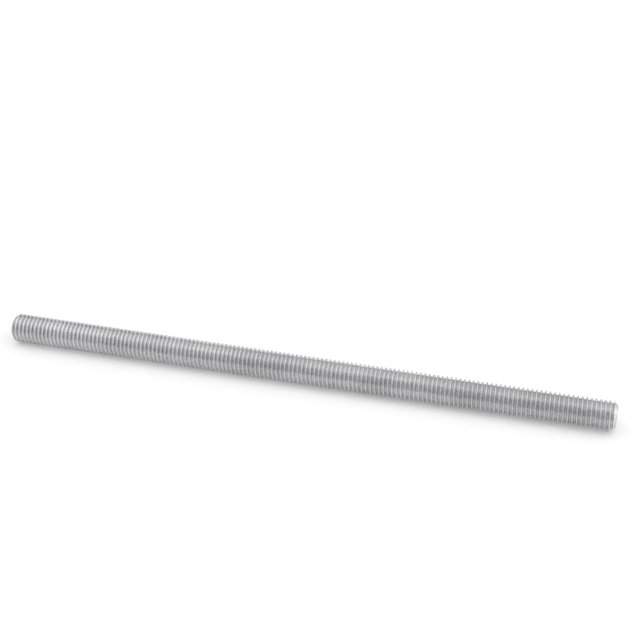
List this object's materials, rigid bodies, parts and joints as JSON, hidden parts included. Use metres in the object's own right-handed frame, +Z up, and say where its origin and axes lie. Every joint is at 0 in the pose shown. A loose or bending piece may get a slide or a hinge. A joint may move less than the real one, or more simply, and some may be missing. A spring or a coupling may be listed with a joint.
{
  "type": "threaded rod",
  "caption": "Straight steel rod threaded along its whole length, with a chamfer at each end, used with nuts to clamp, hang or space parts.",
  "frame": {"origin": "on the rod's axis, halfway between its two end faces", "axes": "+X along the rod's axis, +Z up as the rod lies"},
  "size_m": [0.25, 0.0118, 0.0118],
  "materials": {
    "steel": "bare rolled thread, bright, slightly satin"
  },
  "bodies": {
    "root": {"threaded_rod": "steel"}
  },
  "joints": []
}
